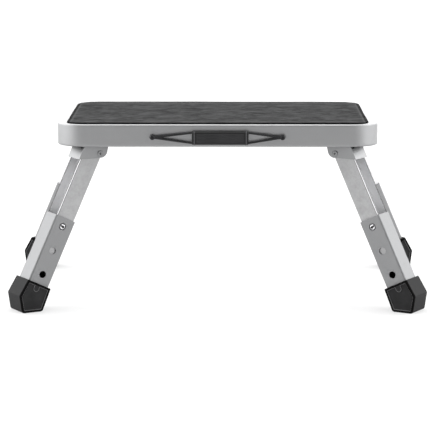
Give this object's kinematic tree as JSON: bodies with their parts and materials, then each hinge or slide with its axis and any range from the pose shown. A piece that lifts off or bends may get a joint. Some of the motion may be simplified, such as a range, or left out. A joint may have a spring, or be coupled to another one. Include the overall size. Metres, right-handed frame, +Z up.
{
  "type": "folding step stool",
  "caption": "Folding platform step: rubber tread on a steel deck, splayed telescopic legs that fold under it, snap buttons for the height, rubber feet and a strap handle on the front.",
  "frame": {"origin": "on the floor under the middle of the deck, with the legs unfolded and fully out", "axes": "+X along the deck's long side, -Y out of the front edge that carries the handle, +Z up"},
  "size_m": [0.6406, 0.421, 0.277],
  "materials": {
    "painted_steel": "silver powder coat, satin",
    "zinc_steel": "zinc plated",
    "chrome": "polished",
    "black_steel": "black oxide, satin",
    "tread_rubber": "embossed grain, matt",
    "foot_rubber": "moulded, satin",
    "handle_rubber": "moulded, matt",
    "nylon": "plain nylon"
  },
  "bodies": {
    "deck": {"deck_tray": "painted_steel", "tread_mat": "tread_rubber", "stiffener_front": "zinc_steel", "stiffener_rear": "zinc_steel", "deck_rivets": "zinc_steel", "handle_strap": "handle_rubber", "handle_posts": "black_steel", "handle_nuts": "zinc_steel", "bracket_front_left": "painted_steel", "pivot_pin_front_left": "painted_steel", "pivot_washers_front_left": "nylon", "bracket_front_right": "painted_steel", "pivot_pin_front_right": "painted_steel", "pivot_washers_front_right": "nylon", "bracket_rear_left": "painted_steel", "pivot_pin_rear_left": "painted_steel", "pivot_washers_rear_left": "nylon", "bracket_rear_right": "painted_steel", "pivot_pin_rear_right": "painted_steel", "pivot_washers_rear_right": "nylon"},
    "upper_front_left": {"upper_leg_front_left": "painted_steel", "button_spring_front_left": "zinc_steel"},
    "button_front_left": {"snap_button_front_left": "chrome"},
    "lower_front_left": {"lower_leg_front_left": "painted_steel", "foot_front_left": "foot_rubber"},
    "upper_front_right": {"upper_leg_front_right": "painted_steel", "button_spring_front_right": "zinc_steel"},
    "button_front_right": {"snap_button_front_right": "chrome"},
    "lower_front_right": {"lower_leg_front_right": "painted_steel", "foot_front_right": "foot_rubber"},
    "upper_rear_left": {"upper_leg_rear_left": "painted_steel", "button_spring_rear_left": "zinc_steel"},
    "button_rear_left": {"snap_button_rear_left": "chrome"},
    "lower_rear_left": {"lower_leg_rear_left": "painted_steel", "foot_rear_left": "foot_rubber"},
    "upper_rear_right": {"upper_leg_rear_right": "painted_steel", "button_spring_rear_right": "zinc_steel"},
    "button_rear_right": {"snap_button_rear_right": "chrome"},
    "lower_rear_right": {"lower_leg_rear_right": "painted_steel", "foot_rear_right": "foot_rubber"},
    "handle": {"handle_grip": "handle_rubber"}
  },
  "joints": [
    {"name": "leg_fold_front_left", "type": "hinge", "parent": "deck", "child": "upper_front_left", "pos_m": [-0.185, -0.124, 0.23], "axis": [0.5, -0.866, 0], "range_deg": [0, 116]},
    {"name": "leg_height_front_left", "type": "slide", "parent": "upper_front_left", "child": "lower_front_left", "axis": [0.3796, 0.2192, 0.8988], "range_m": [0, 0.077], "deforming": ["snap_button_front_left", "button_spring_front_left"]},
    {"name": "button_press_front_left", "type": "slide", "parent": "upper_front_left", "child": "button_front_left", "axis": [-0.5, 0.866, 0], "range_m": [0, 0.004], "stiffness_N_per_m": 2000, "springref_m": -0.002, "deforming": ["button_spring_front_left"]},
    {"name": "leg_fold_front_right", "type": "hinge", "parent": "deck", "child": "upper_front_right", "pos_m": [0.185, -0.124, 0.23], "axis": [0.5, 0.866, 0], "range_deg": [0, 116]},
    {"name": "leg_height_front_right", "type": "slide", "parent": "upper_front_right", "child": "lower_front_right", "axis": [-0.3796, 0.2192, 0.8988], "range_m": [0, 0.077], "deforming": ["snap_button_front_right", "button_spring_front_right"]},
    {"name": "button_press_front_right", "type": "slide", "parent": "upper_front_right", "child": "button_front_right", "axis": [0.5, 0.866, 0], "range_m": [0, 0.004], "stiffness_N_per_m": 2000, "springref_m": -0.002, "deforming": ["button_spring_front_right"]},
    {"name": "leg_fold_rear_left", "type": "hinge", "parent": "deck", "child": "upper_rear_left", "pos_m": [-0.192, 0.124, 0.23], "axis": [-0.5, -0.866, 0], "range_deg": [0, 116]},
    {"name": "leg_height_rear_left", "type": "slide", "parent": "upper_rear_left", "child": "lower_rear_left", "axis": [0.3796, -0.2192, 0.8988], "range_m": [0, 0.077], "deforming": ["snap_button_rear_left", "button_spring_rear_left"]},
    {"name": "button_press_rear_left", "type": "slide", "parent": "upper_rear_left", "child": "button_rear_left", "axis": [-0.5, -0.866, 0], "range_m": [0, 0.004], "stiffness_N_per_m": 2000, "springref_m": -0.002, "deforming": ["button_spring_rear_left"]},
    {"name": "leg_fold_rear_right", "type": "hinge", "parent": "deck", "child": "upper_rear_right", "pos_m": [0.192, 0.124, 0.23], "axis": [-0.5, 0.866, 0], "range_deg": [0, 116]},
    {"name": "leg_height_rear_right", "type": "slide", "parent": "upper_rear_right", "child": "lower_rear_right", "axis": [-0.3796, -0.2192, 0.8988], "range_m": [0, 0.077], "deforming": ["snap_button_rear_right", "button_spring_rear_right"]},
    {"name": "button_press_rear_right", "type": "slide", "parent": "upper_rear_right", "child": "button_rear_right", "axis": [0.5, -0.866, 0], "range_m": [0, 0.004], "stiffness_N_per_m": 2000, "springref_m": -0.002, "deforming": ["button_spring_rear_right"]},
    {"name": "handle_pull", "type": "slide", "parent": "deck", "child": "handle", "axis": [0, -1, 0], "range_m": [0, 0.02], "stiffness_N_per_m": 1500, "springref_m": -0.002, "deforming": ["handle_strap"]}
  ]
}
